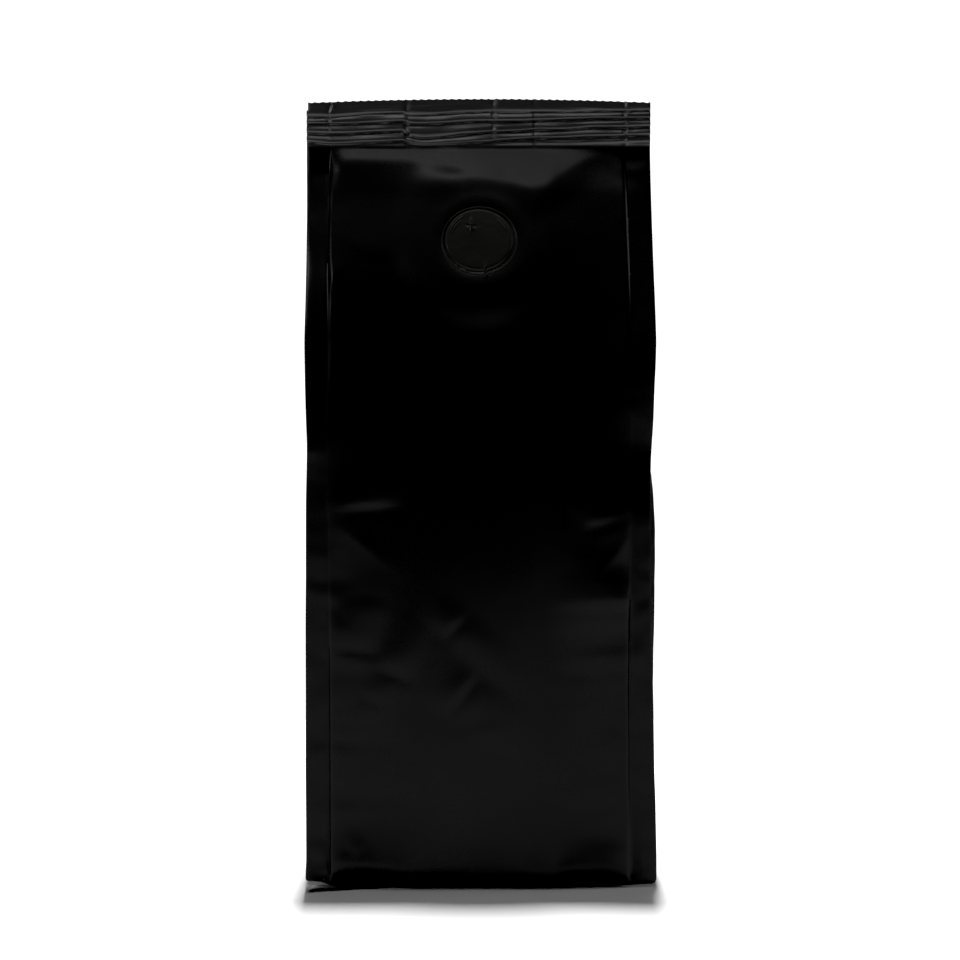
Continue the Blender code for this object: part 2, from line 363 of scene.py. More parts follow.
def close_and_fill(film, tube, sizes):
    """Fold the gussets, close the top and swell the film by a cloth simulation, and keep its result."""
    flat = read_spots(film.data)
    target, held = closed_places(flat, tube)
    wobble = np.stack([noise_at(flat, 0.03, seed) for seed in (1, 2, 3)], axis=1)
    start = flat + wobble * 0.0004 * ~held[:, None]

    write_points(film.data, start * SIM_SCALE)
    pick(film)
    film.shape_key_add(name="Basis")
    key = film.shape_key_add(name="closed")
    key.data.foreach_set("co", (np.where(held[:, None], target, start) * SIM_SCALE)
                         .astype(np.float32).ravel())
    closed, last = 26, 58
    key.value = 0
    key.keyframe_insert("value", frame=1)
    key.value = 1
    key.keyframe_insert("value", frame=closed)

    fins = np.abs(flat[:, 0]) > tube.half_panel + TINY
    push = 1 - 0.88 * smooth(0.45, 0.85, flat[:, 2] / tube.flat_foot)
    set_group(film, "held", held)
    set_group(film, "push", np.where(fins, 0, push))

    cloth = film.modifiers.new("fill", "CLOTH")
    settings = cloth.settings
    settings.quality = 8
    settings.mass = 0.15
    settings.tension_stiffness = settings.compression_stiffness = 200
    settings.shear_stiffness = 80
    settings.bending_stiffness = sizes.stiffness
    settings.tension_damping = settings.compression_damping = 15
    settings.shear_damping = 10
    settings.bending_damping = 2
    settings.air_damping = 4
    settings.vertex_group_mass = "held"
    settings.use_pressure = True
    settings.uniform_pressure_force = sizes.pressure
    settings.vertex_group_pressure = "push"
    settings.use_internal_springs = True
    settings.internal_spring_max_length = 0.0012 * SIM_SCALE
    settings.internal_spring_max_diversion = math.radians(30)
    settings.internal_tension_stiffness = settings.internal_tension_stiffness_max = 60
    settings.internal_compression_stiffness = settings.internal_compression_stiffness_max = 60
    settings.effector_weights.gravity = 0
    cloth.collision_settings.use_collision = False
    cloth.point_cache.frame_start, cloth.point_cache.frame_end = 1, last

    scene = bpy.context.scene
    scene.frame_start, scene.frame_end = 1, last
    for number in range(1, last + 1):
        scene.frame_set(number)
    pick(film)
    bpy.ops.object.convert(target="MESH")
    scene.frame_set(1)
    film.animation_data_clear()
    film.vertex_groups.clear()
    for action in list(bpy.data.actions):
        bpy.data.actions.remove(action)
    write_points(film.data, read_points(film.data) / SIM_SCALE)


# ---------------------------------------------------------------- settling the filled film

# Outer edges of the fins as they stand: height, left edge and right edge, in millimetres
OUTLINE = np.array((
    (2, -47.1, 47.9), (8, -47.1, 47.9), (24, -47.1, 47.5), (30, -47.1, 47.2), (51, -46.9, 46.8),
    (71, -46.8, 46.2), (85, -46.6, 46.1), (104, -46.5, 45.9), (115, -46.2, 46.0), (119, -46.1, 46.2),
    (126, -46.4, 46.6), (135, -46.7, 46.8), (147, -47.0, 47.3), (157, -46.8, 47.2), (170, -46.8, 47.0),
    (180, -46.9, 46.9), (197, -47.4, 46.8), (209, -47.4, 46.8))) / 1000

# How far the welds stand from the bag's middle plane, by height, where the filling holds them out
WELD_DEPTH = np.array((
    (0, 22.4), (4, 22.3), (11, 22.0), (20, 22.0), (30, 22.3), (45, 22.9), (60, 23.6), (75, 24.3), (90, 24.9),
    (105, 25.0), (120, 24.2))) / 1000


def skin_grid(flat, edge, face):
    """Indices of one skin's points, in rows of height and columns across."""
    skin = np.flatnonzero(np.abs(flat[:, 1] - face * edge) < TINY)
    spots = np.round(flat[skin], 6)
    across, height = np.unique(spots[:, 0]), np.unique(spots[:, 2])
    grid = np.full((len(height), len(across)), -1)
    grid[np.searchsorted(height, spots[:, 2]), np.searchsorted(across, spots[:, 0])] = skin
    return grid


def relax(field, rate, rounds):
    """Even out a field over its grid; a rate of 0 keeps a place as it is."""
    for _ in range(rounds):
        mean = (np.roll(field, 1, 0) + np.roll(field, -1, 0) + np.roll(field, 1, 1)
                + np.roll(field, -1, 1)) / 4
        field = field + rate[..., None] * (mean - field)
    return field


def calm_panels(film, tube):
    """Take the sharpest buckles out of the front and back panels."""
    points, flat = read_points(film.data), read_spots(film.data)
    for face, rounds in ((FRONT, 90), (BACK, 35)):
        grid = skin_grid(flat, tube.half_gusset, face)
        across, height = np.abs(flat[grid][..., 0]), flat[grid][..., 2]
        rate = 1 - smooth(0.88, 1.0, across / tube.half_panel)
        rate *= smooth(0.006, 0.020, height) * smooth(tube.flat_foot, tube.flat_foot - 0.004, height)
        points[grid] = relax(points[grid] - flat[grid], rate, rounds) + flat[grid]
        side = np.clip(across / tube.half_panel, 0, 1)
        foot = 0.00050 * smooth(0.024, 0.003, height) * (1 - side ** 6)
        foot += 0.00040 * smooth(0.011, 0.002, height) * (1 - side ** 2) ** 2
        points[grid, 1] += face * foot
    write_points(film.data, points)


def straighten_fins(film, tube):
    """Draw the welds taut, so that the fins stand in the outline that the bag shows."""
    points, flat = read_points(film.data), read_spots(film.data)
    pull = np.zeros_like(points)
    for face in (FRONT, BACK):
        grid = skin_grid(flat, tube.half_gusset, face)
        heights, across = flat[grid[:, 0], 2], flat[grid[0], 0]
        for side in (-1, 1):
            weld = grid[:, np.abs(across - side * tube.half_panel).argmin()]
            edge = grid[:, 0 if side < 0 else -1]
            shift = -0.0006 * smooth(0.150, 0.198, points[weld, 2])
            lean = np.interp(points[edge, 2], OUTLINE[:, 0], OUTLINE[:, 1 if side < 0 else 2])
            if face == BACK:
                lean = 0.5 * lean + 0.5 * side * (tube.half_panel + tube.fin)
            weld_pull = side * (tube.half_panel - 0.0001) + shift - points[weld, 0]
            edge_pull = lean - points[edge, 0]
            stands = face * np.interp(points[weld, 2], WELD_DEPTH[:, 0], WELD_DEPTH[:, 1])
            weld_push = (stands - points[weld, 1]) * smooth(0.122, 0.100, points[weld, 2])
            held = smooth(0.122, 0.100, points[weld, 2])
            edge_push = ((stands - face * 0.0010 - points[edge, 1]) * held
                         - 0.55 * (points[edge, 1] - points[weld, 1]) * (1 - held))
            mine = (flat[:, 1] * face > -TINY) & (flat[:, 0] * side > 0)
            out = np.clip((np.abs(flat[:, 0]) - tube.half_panel) / tube.fin, 0, 1)
            near = smooth(0.4, 1.0, np.abs(flat[:, 0]) / tube.half_panel)
            near *= smooth(0.3, 1.0, np.abs(flat[:, 1]) / tube.inner)
            sealed = smooth(tube.flat_foot - 0.03, tube.flat_foot, flat[:, 2])
            near = near + (1 - near) * sealed
            height = flat[mine, 2]
            at_weld = np.interp(height, heights, weld_pull)
            at_edge = np.interp(height, heights, edge_pull)
            pull[mine, 0] = (at_weld * (1 - out[mine]) + at_edge * out[mine]) * near[mine]
            at_weld = np.interp(height, heights, weld_push)
            at_edge = np.interp(height, heights, edge_push)
            pull[mine, 1] = (at_weld * (1 - out[mine]) + at_edge * out[mine]) * near[mine]
    middle = np.abs(flat[:, 0]) < TINY
    sealed = smooth(tube.flat_foot - 0.03, tube.flat_foot, flat[:, 2])
    pull[middle, 0] = -0.0006 * sealed[middle]
    write_points(film.data, points + pull)


def tuck_gussets(film, tube):
    """Keep each folded gusset between the front and back panels, and its halves apart."""
    mesh = film.data
    points, flat = read_points(mesh), read_spots(mesh)
    inside = (np.abs(flat[:, 1]) < tube.inner - TINY) & (flat[:, 2] < tube.flat_foot - TINY)
    folds = inside & (flat[:, 2] > 0.62 * tube.flat_foot)
    for face in (FRONT, BACK):
        tree = skin_tree(mesh, points, flat[:, 1] * face > tube.half_gusset - TINY)
        for index in np.flatnonzero(folds & (flat[:, 1] * face > -TINY)):
            x, y, z = points[index]
            hit = tree.ray_cast(Vector((x, face * 0.2, z)), Vector((0, -face, 0)))[0]
            room = max(face * hit.y - tube.gap if hit else abs(y), 0.00003)
            apart = 0.0006 * abs(flat[index, 1]) / tube.inner
            least = min(0.00005 + apart * smooth(tube.seal_foot, tube.seal_foot - 0.02, z), room)
            points[index, 1] = face * min(max(face * y, least), room)
    write_points(mesh, points)


def weld_seal(film, tube):
    """Join all layers in the seal: the film folded inside it goes, and its halves are merged."""
    edit_selected(film, lambda face: False)
    bm = bmesh.from_edit_mesh(film.data)
    layer = bm.verts.layers.float_vector["flat"]

    def inside_seal(vert):
        spot = vert[layer]
        return abs(spot.y) < tube.half_gusset - TINY and spot.z > tube.flat_foot - TINY

    for face in bm.faces:
        face.select_set(all(inside_seal(vert) for vert in face.verts))
    bmesh.update_edit_mesh(film.data)
    bpy.ops.mesh.delete(type="FACE")

    bpy.ops.mesh.select_mode(type="VERT")
    bm = bmesh.from_edit_mesh(film.data)
    layer = bm.verts.layers.float_vector["flat"]
    for vert in bm.verts:
        vert.select_set(inside_seal(vert))
    bmesh.update_edit_mesh(film.data)
    bpy.ops.mesh.remove_doubles(threshold=0.0001)
    bpy.ops.object.mode_set(mode="OBJECT")


def refine(film):
    """One level of subdivision, so that folds and fins are round."""
    pick(film)
    level = film.modifiers.new("refine", "SUBSURF")
    level.levels = level.render_levels = 1
    bpy.ops.object.modifier_apply(modifier=level.name)


def cut_flat(film, axis, places, test=None):
    """Cut loops through the filled film along lines that were straight on the flat tube."""
    store_spots(film.data, read_points(film.data), "place")
    write_points(film.data, read_spots(film.data))
    bisect_at(film, axis, places, test)
    write_points(film.data, read_spots(film.data, "place"))
    film.data.attributes.remove(film.data.attributes["place"])


# ---------------------------------------------------------------- dents and creases

# Dents of the front panel, in millimetres and degrees. Each is a crisp crease with a swell on either side:
# middle across, height, half length, turn, bow, rise and reach of the swell above it, rise and reach of
# the swell below it, and the end that narrows to a point.
FRONT_DENTS = (
    (-29.0, 102.2, 12.5, 4, 0.0, 0.95, 6.0, 0.40, 7.0, -1),
    (33.4, 98.2, 8.6, 15, 0.0, 0.80, 4.6, 0.40, 7.0, 1),
    (29.5, 107.2, 9.5, -15, 0.0, 0.42, 4.0, 0.25, 2.5, 1),
    (7.6, 124.2, 7.5, 5, 1.2, 0.50, 2.4, 0.16, 4.0, 0),
    (-5.6, 128.4, 8.0, -25, 0.0, 0.26, 3.0, 0.10, 4.0, 0),
    (-30.3, 79.0, 8.0, 0, -0.4, 0.30, 4.5, 0.16, 2.2, 0),
    (-33.4, 64.2, 9.0, -7, 0.0, 0.60, 7.5, 0.26, 2.6, -1),
    (-22.8, 58.2, 7.5, -18, -0.5, 0.42, 5.5, 0.16, 3.5, 0),
    (-28.5, 51.0, 6.5, -20, 0.0, 0.18, 3.0, 0.14, 3.0, 0),
    (-5.8, 71.3, 6.0, 48, 0.0, 0.30, 2.4, 0.22, 4.2, 0),
    (-4.4, 52.4, 8.6, 55, 0.0, 0.36, 2.2, 0.36, 5.0, 0),
    (0.5, 44.6, 9.5, 9, 0.0, -0.10, 4.0, 0.16, 3.0, 0),
    (35.6, 55.8, 3.8, -4, 0.0, 0.16, 2.4, 0.14, 1.6, 1),
    (-30.5, 93.0, 12.3, -40, 0.0, -0.36, 5.0, -0.50, 8.0, 0),
    (35.5, 90.0, 8.0, 52, 0.0, -0.30, 4.0, -0.45, 7.0, 0),
    (36.8, 41.4, 2.8, 0, 0.0, 0.07, 1.4, 0.06, 1.4, 1),
    (-35.2, 36.6, 5.0, 2, 0.0, 0.07, 2.0, 0.06, 1.6, -1),
    (-31.8, 9.6, 3.2, 35, 0.0, 0.12, 2.0, 0.06, 2.0, 0),
    (-37.5, 163.0, 6.5, 62, 0.5, 0.50, 2.4, 0.25, 3.0, 0),
    (-31.5, 170.0, 9.0, -28, 0.8, 0.45, 3.5, 0.20, 4.0, -1),
)
BACK_DENTS = (
    (27.5, 96.0, 12.0, 4, 0.0, 0.90, 3.2, 0.50, 9.0, 1),
    (-31.5, 104.0, 8.5, -14, 0.0, 0.80, 2.8, 0.40, 8.0, -1),
    (-29.0, 71.0, 8.0, 10, 0.5, 0.60, 3.0, 0.30, 3.5, -1),
    (22.0, 60.5, 7.0, -38, 0.0, 0.48, 2.4, 0.36, 4.0, 0),
    (31.5, 48.0, 7.5, 6, 0.0, 0.55, 2.8, 0.25, 3.0, 1),
    (-21.0, 43.0, 6.0, 52, 0.0, 0.40, 2.0, 0.30, 4.0, 0),
    (-36.0, 28.0, 4.5, 3, 0.0, 0.24, 1.6, 0.12, 2.0, -1),
    (36.5, 77.0, 4.0, -6, 0.0, 0.26, 1.6, 0.12, 2.0, 1),
    (-14.0, 121.0, 8.0, 18, 1.2, 0.34, 2.0, 0.15, 4.0, 0),
    (16.0, 133.0, 7.0, -24, -0.8, 0.30, 2.4, 0.15, 4.0, 0),
    (-16.0, 191.0, 9.0, -24, 0.0, 0.38, 2.6, 0.20, 4.0, 1),
    (33.0, 15.0, 5.0, 30, 0.0, 0.30, 1.8, 0.15, 2.5, 0),
)
# Dents of the gussets: the same, with the first number from the front (-) to the back (+)
LEFT_DENTS = (
    (-13.0, 88.0, 8.0, 25, 0.0, 0.60, 3.0, 0.35, 5.0, -1),
    (12.0, 70.0, 9.0, -18, 0.0, 0.70, 3.0, 0.35, 5.0, 1),
    (-10.0, 47.0, 8.0, -30, 0.0, 0.55, 2.6, 0.30, 4.0, -1),
    (14.0, 34.0, 6.5, 22, 0.0, 0.45, 2.4, 0.25, 4.0, 1),
    (-4.0, 21.0, 8.0, 8, 0.8, 0.40, 2.4, 0.25, 4.0, 0),
    (6.0, 104.0, 8.0, 40, 0.0, 0.50, 3.0, 0.30, 4.0, 1),
)
RIGHT_DENTS = (
    (13.0, 92.0, 8.5, -22, 0.0, 0.65, 3.0, 0.35, 5.0, 1),
    (-12.5, 77.0, 8.0, 16, 0.0, 0.60, 2.8, 0.30, 5.0, -1),
    (9.0, 55.0, 8.0, 34, 0.0, 0.55, 2.6, 0.30, 4.0, 1),
    (-14.0, 39.0, 6.5, -12, 0.0, 0.45, 2.4, 0.25, 4.0, -1),
    (3.0, 24.0, 8.5, -10, 0.8, 0.40, 2.4, 0.25, 4.0, 0),
    (-5.0, 109.0, 7.0, -42, 0.0, 0.50, 3.0, 0.30, 4.0, -1),
)


def dent_relief(u, v, dents):
    """How far a list of dents moves the film out at u across and v up."""
    relief = np.zeros_like(u)
    for middle, height, half, turn, bow, over, reach, under, fall, point in dents:
        turn = math.radians(turn)
        du, dv = u * 1000 - middle, v * 1000 - height
        along = (du * math.cos(turn) + dv * math.sin(turn)) / half
        across = dv * math.cos(turn) - du * math.sin(turn) - bow * along ** 2
        taper = np.clip(1 - along ** 2, 0, 1)
        width = 1.0
        if point:
            taper = np.where(along * point > 0, taper, taper ** 2)
            width = 0.28 + 0.72 * np.clip(0.5 - 0.5 * along * point, 0, 1)
        else:
            taper = taper ** 2
        above, below = np.clip(across, 0, None) / (reach * width), np.clip(-across, 0, None) / (fall * width)
        profile = under * below * np.exp(1 - below) + over * above * np.exp(1 - above)
        relief += profile * taper * width
    return relief / 1000


# The shoulder's crease, where its slope ends and the front panel begins to hang: across, height, share
SHOULDER = np.array((
    (-41.0, 194.2, 0.0), (-38.0, 195.4, 0.7), (-33.0, 196.4, 1.0), (-20.0, 196.3, 1.0), (-12.0, 195.2, 1.0),
    (-5.4, 193.8, 1.0), (5.5, 191.0, 1.0), (13.6, 188.9, 1.0), (19.6, 192.1, 0.9), (27.3, 195.9, 0.5),
    (34.0, 198.4, 0.0))) / (1000, 1000, 1)
SHOULDER_SLOPES = (0.75, 0.79)
SHOULDER_HANG = 0.011


def slope_shoulder(film, tube):
    """Slope the film evenly from the seal to the shoulder's crease, and let it hang straighter below."""
    mesh = film.data
    points, flat = read_points(mesh), read_spots(mesh)
    skin = (flat[:, 1] < -tube.half_gusset + TINY) & (np.abs(flat[:, 0]) < tube.half_panel)
    tree = skin_tree(mesh, points, skin)
    clear = smooth(0.0115, 0.0155, np.hypot(points[:, 0], (points[:, 2] - VALVE_LOW.z / 2 - VALVE_HIGH.z / 2) * 1.1))
    for index in np.flatnonzero(skin & (points[:, 2] > 0.172) & (flat[:, 2] < tube.flat_foot - TINY)):
        x, y, z = points[index]
        line, share = (np.interp(x, SHOULDER[:, 0], SHOULDER[:, column]) for column in (1, 2))
        hit = tree.ray_cast(Vector((x, -0.2, line)), Vector((0, 1, 0)))[0]
        if share == 0 or hit is None:
            continue
        slope = np.clip((-0.0004 - hit.y) / (tube.seal_foot - line), *SHOULDER_SLOPES)
        ledge = -0.0004 - slope * (tube.seal_foot - line)
        if z > line:
            change = -0.0004 - slope * (tube.seal_foot - z) - y
        else:
            change = (ledge - hit.y) * float(smooth(SHOULDER_HANG, 0.0, line - z)) * clear[index]
        points[index, 1] += change * share
    write_points(mesh, points)


def skin_tree(mesh, points, keep):
    """A search tree of the faces whose points are all kept."""
    faces = [tuple(face.vertices) for face in mesh.polygons if all(keep[i] for i in face.vertices)]
    return BVHTree.FromPolygons([tuple(point) for point in points], faces)


def crumple(u, v, seed, spread):
    """Fine uneven puckers, strongest where the spread is 1."""
    spots = np.stack([u, 0 * u, v * 1.6], axis=1)
    return (noise_at(spots, 0.012, seed) * 0.00016 + noise_at(spots, 0.005, seed + 1) * 0.00006) * spread


# The grooves of the front welds: height, depth and half width at the left, depth and half width at the right
WELD_GROOVES = np.array((
    (0, 0.34, 0.38, 0.62, 0.80), (55, 0.30, 0.38, 0.62, 0.85), (70, 0.16, 0.38, 0.50, 0.75),
    (82, 0.12, 0.38, 0.10, 0.45), (92, 0.05, 0.40, -0.12, 0.45), (104, -0.16, 0.45, -0.15, 0.45),
    (131, -0.16, 0.45, -0.12, 0.45), (140, 0.15, 0.40, 0.15, 0.40), (200, 0.30, 0.38, 0.30, 0.38))) / 1000


def weld_groove(out, u, v, face):
    """How deep the film dips where it is welded, out past the weld and at u across and v up."""
    side = np.sign(u)
    if face == BACK:
        return 0.00034 * np.exp(-(out / 0.00038) ** 2)
    depth, width = (np.where(side < 0, np.interp(v, WELD_GROOVES[:, 0], WELD_GROOVES[:, column]),
                             np.interp(v, WELD_GROOVES[:, 0], WELD_GROOVES[:, column + 2]))
                    for column in (1, 2))
    drift = 0.0008 * smooth(0.060, 0.010, v) * (side > 0)
    return depth * np.exp(-((out - drift) / width) ** 2)


def dent_film(film, tube):
    """Press the dents into every side, pucker the film along its welds and groove the welds."""
    mesh = film.data
    points, flat, normals = read_points(mesh), read_spots(mesh), read_normals(mesh)
    free = smooth(tube.flat_foot + 0.0005, tube.flat_foot - 0.004, flat[:, 2])
    free *= smooth(0.0002, 0.004, points[:, 2])
    move = np.zeros(len(points))
    beyond = np.abs(flat[:, 0]) - tube.half_panel
    for face, dents in ((FRONT, FRONT_DENTS), (BACK, BACK_DENTS)):
        skin = flat[:, 1] * face > tube.half_gusset - TINY
        u, v, out = points[skin, 0], points[skin, 2], beyond[skin]
        relief = dent_relief(u, v, dents) * smooth(0.0002, -0.0014, out)
        inside = np.clip(-out, 0, None)
        lower = 0.35 + 0.65 * smooth(0.130, 0.070, v)
        relief += 0.0008 * lower * (1 - np.exp(-inside / 0.0011)) * np.exp(-inside / 0.012)
        relief -= weld_groove(out, u, v, face)
        relief += crumple(u, v, 11 + face, np.exp(-inside / 0.012) * (0.4 + 0.6 * lower))
        move[skin] = relief
    for side, dents in ((-1, LEFT_DENTS), (1, RIGHT_DENTS)):
        skin = (np.abs(flat[:, 1]) < tube.inner - TINY) & (beyond < TINY) & (flat[:, 0] * side > 0)
        skin &= flat[:, 2] > TINY
        u, v = flat[skin, 1], points[skin, 2]
        fold = 0.00045 * np.exp(-np.abs(u) / 0.0009) * smooth(0.015, 0.060, v)
        edge = np.clip(tube.inner - np.abs(u), 0, None)
        low = smooth(0.150, 0.120, v)
        relief = dent_relief(u, v, dents) * low - fold
        relief += crumple(u, v, 21 + side, low * (0.5 + 0.5 * np.exp(-edge / 0.010)))
        relief += 0.0005 * low * (1 - np.exp(-edge / 0.0012)) * np.exp(-edge / 0.010)
        move[skin] = relief
    points += normals * (move * free)[:, None]
    fin = beyond > -TINY
    sway = noise_along(points[fin, 2] + 0.31 * np.sign(flat[fin, 0]) + 0.17 * np.sign(flat[fin, 1]), 0.016, 4)
    bent = (flat[fin, 0] < 0) & (flat[fin, 1] < 0)
    sway += bent * (7.5 * np.exp(-((points[fin, 2] - 0.1655) / 0.0075) ** 2)
                    - 1.6 * np.exp(-((points[fin, 2] - 0.1180) / 0.0016) ** 2))
    points[fin, 1] += (sway * 0.00014 * np.clip(beyond[fin] / tube.fin, 0, 1)) * free[fin]
    write_points(mesh, points)


def fold_base(film, tube):
    """Mark the gussets' folded corners on the underside."""
    mesh = film.data
    points, flat = read_points(mesh), read_spots(mesh)
    under = (flat[:, 2] < TINY) & (np.abs(flat[:, 0]) < tube.half_panel - TINY)
    under &= np.abs(flat[:, 1]) < tube.half_gusset - 0.0006
    inset = np.abs(flat[:, 0]) - (tube.half_panel - tube.half_gusset) - np.abs(flat[:, 1])
    points[under, 2] += (0.00035 - 0.00035 * smooth(-0.0006, 0.0006, inset)
                         + 0.0003 * np.exp(-(inset / 0.0007) ** 2))[under]
    write_points(mesh, points)


# ---------------------------------------------------------------- the top seal

def seal_top(x, tube, sizes):
    """Height of the cut edge at x."""
    return tube.top - sizes.arch * (x / BAG_HIGH.x) ** 2


# Where the seal's layers end: the welds, the gussets' folds and the back seam's root
KINKS = (-0.0413, -0.0201, 0.0039, 0.0150, 0.0396)

# The seal's four grooves: across, then the height of each, in millimetres
GROOVES = np.array((
    (-47.0, 208.3, 206.3, 203.8, 201.4),
    (-41.5, 208.3, 206.3, 203.5, 200.7),
    (-36.9, 208.7, 206.3, 203.6, 200.7),
    (-31.4, 209.2, 206.5, 203.9, 201.1),
    (-21.0, 209.4, 206.9, 204.4, 201.6),
    (-19.3, 208.9, 206.3, 203.0, 201.1),
    (-15.5, 208.8, 206.3, 202.4, 200.3),
    (-8.9, 209.2, 206.5, 202.9, 200.7),
    (-5.4, 209.5, 206.7, 203.3, 200.9),
    (-1.8, 209.6, 207.0, 203.6, 201.2),
    (2.8, 209.9, 207.0, 204.1, 201.3),
    (4.2, 209.7, 206.9, 204.1, 201.6),
    (11.1, 209.6, 207.0, 204.3, 202.1),
    (15.2, 209.7, 207.2, 204.7, 202.3),
    (22.8, 209.7, 207.4, 204.7, 202.4),
    (30.2, 209.8, 207.7, 205.3, 202.7),
    (37.6, 209.9, 207.8, 205.3, 202.9),
    (39.8, 209.9, 207.8, 205.3, 203.0),
    (48.0, 210.1, 207.9, 205.6, 203.2)))


def crimp_seal(film, tube, sizes):
    """Press the jaws' grooves into the seal, step it where layers end, and cut its toothed edge."""
    in_seal = (lambda face: face.calc_center_median().z > tube.flat_foot - TINY)
    cut_flat(film, "z", steps(tube.flat_foot, tube.flat_top, 60), in_seal)
    cut_flat(film, "x", [at + step for at in KINKS[1:-1] for step in (-0.0007, -0.0003, 0.0002, 0.0006)],
             in_seal)
    mesh = film.data
    points, flat = read_points(mesh), read_spots(mesh)
    seal = flat[:, 2] > tube.flat_foot - TINY
    x, y = points[seal, 0], points[seal, 1]
    height = flat[seal, 2] - tube.flat_foot
    top = seal_top(x, tube, sizes)
    z = tube.seal_foot + height * (top - tube.seal_foot) / tube.seal

    lines = [np.interp(x * 1000, GROOVES[:, 0], GROOVES[:, line]) / 1000 for line in range(1, 5)]
    sway = noise_along(x, 0.007, 6) * 0.00010
    groove = np.zeros(len(x))
    for number, line in enumerate(lines):
        width = 0.00030 * (1 + 0.35 * noise_along(x, 0.011, 50 + number))
        groove += np.exp(-((z - line - sway) / width) ** 2) * (1 + 0.4 * noise_along(x, 0.009, 60 + number))
    edges = [top] + lines + [lines[3] - 0.0016]
    rib = np.zeros(len(x))
    for number, (upper, lower) in enumerate(zip(edges, edges[1:])):
        share = np.clip((z - lower) / (upper - lower), 0, 1)
        crest = np.sin(np.pi * share) + 0.25 * np.sin(2 * np.pi * share)
        crest -= 0.30 * np.exp(-((share - 0.42) / 0.10) ** 2) * smooth(-0.1, 0.5, noise_along(x, 0.02, 70 + number))
        swell = 1 + 0.45 * noise_along(x, 0.008, 80 + number)
        rib += crest * swell * (0.4 if number in (0, 4) else 1)
    relief = sizes.crimp_depth * (0.60 * groove - 0.98 * rib)

    layers = 0.00016 * smooth(-0.0198, -0.0204, x) + 0.00016 * smooth(0.0146, 0.0152, x)
    layers += 0.00020 * smooth(0.0035, 0.0041, x) * (1 - smooth(0.0144, 0.0150, x))
    layers += 0.00012 * smooth(tube.half_panel - 0.0004, tube.half_panel + 0.0004, np.abs(x + 0.0006))
    kinks = np.zeros(len(x))
    for number, at in enumerate(KINKS):
        bent = x - at - 0.0006 * noise_along(z, 0.0026, 90 + number)
        cut = np.exp(-(bent / 0.00045) ** 2) - 0.7 * np.exp(-((bent - 0.0009) / 0.0005) ** 2)
        kinks += 0.00045 * cut * (0.6 + 0.9 * noise_along(z, 0.0026, 95 + number))
    lumps = noise_at(np.stack([x, 0 * x, z * 2], axis=1), 0.006, 8) * 0.00012
    lumps += noise_at(np.stack([x / 12, 0 * x, z], axis=1), 0.0007, 9) * 0.00007
    bend = 0.0008 * np.sin(3.1 * (x / BAG_HIGH.x + 1) / 2 + 0.4) * height / tube.seal
    open_foot = smooth(0, 0.0010, height)
    points[seal, 1] = y + (np.sign(y) * (layers - kinks) + relief + lumps + bend) * open_foot
    points[seal, 2] = z
    points[seal, 0] += 0.0004 * smooth(-0.0462, -0.0468, x) * smooth(0.2100, 0.2104, z)
    write_points(mesh, points)
    cut_teeth(film, tube, sizes)


def cut_teeth(film, tube, sizes):
    """Cut the teeth of the top edge and close it over the layers."""
    mesh = film.data
    points, flat = read_points(mesh), read_spots(mesh)
    top = flat[:, 2] > tube.flat_top - TINY
    x = np.abs(flat[top, 0])
    pitch = np.where(x > tube.half_panel, tube.fin / FIN_COLUMNS, 2 * tube.half_panel / COLUMNS)
    turn = (np.where(x > tube.half_panel, x - tube.half_panel, flat[top, 0] + tube.half_panel)) / pitch
    points[top, 2] -= sizes.tooth * 2 * np.abs(turn - np.round(turn))
    write_points(mesh, points)

    edit_selected(film, lambda edge: edge.is_boundary and edge.verts[0].co.z > tube.top - 0.003, "EDGE")
    bm = bmesh.from_edit_mesh(mesh)
    layer = bm.verts.layers.float_vector["flat"]
    rows = {FRONT: {}, BACK: {}}
    for edge in bm.edges:
        if edge.select:
            for vert in edge.verts:
                rows[FRONT if vert[layer].y < 0 else BACK][round(vert[layer].x, 6)] = vert
    keys = sorted(set(rows[FRONT]) & set(rows[BACK]))
    for left, right in zip(keys, keys[1:]):
        corners = (rows[FRONT][left], rows[FRONT][right], rows[BACK][right], rows[BACK][left])
        if not bm.faces.get(corners):
            bm.faces.new(corners)
    bmesh.update_edit_mesh(mesh)
    bpy.ops.object.mode_set(mode="OBJECT")


# ---------------------------------------------------------------- the valve

def valve_place(sizes):
    """Where the film's plane passes under the valve: its +Z points out of the bag, its +Y up along it."""
    middle = (VALVE_LOW + VALVE_HIGH) / 2
    turn = Matrix.Rotation(math.radians(90) - sizes.lean, 4, "X")
    out = turn.to_3x3() @ Vector((0, 0, 1))
    return Matrix.Translation(middle + out * sizes.proud) @ turn


def seat_valve(film, tube, sizes):
    """Bring the front panel to the valve's plane and sink it under the valve."""
    mesh = film.data
    inverse = np.array(valve_place(sizes).inverted())
    place = np.array(valve_place(sizes))
    points, flat = read_points(mesh), read_spots(mesh)
    skin = (flat[:, 1] < -tube.half_gusset + TINY) & (np.abs(flat[:, 0]) < tube.half_panel)
    local = points[skin] @ inverse[:3, :3].T + inverse[:3, 3]
    radius = np.hypot(local[:, 0], local[:, 1])
    reach = np.hypot(local[:, 0], local[:, 1] * np.where(local[:, 1] > 0, 0.72, 1))
    hold = smooth(tube.seal_foot, tube.seal_foot - 0.014, points[skin, 2])
    local[:, 2] -= local[radius < 0.007, 2].mean() * np.exp(-(radius / 0.030) ** 2) * hold
    sunk = -0.0006 * smooth(0.0100, 0.0080, radius)
    ring = 0.00022 * np.exp(-((radius - 0.0125) / 0.0020) ** 2)
    local[:, 2] += (ring + sunk - local[:, 2]) * smooth(0.0260, 0.0125, reach) * hold
    points[skin] = local @ place[:3, :3].T + place[:3, 3]
    write_points(mesh, points)


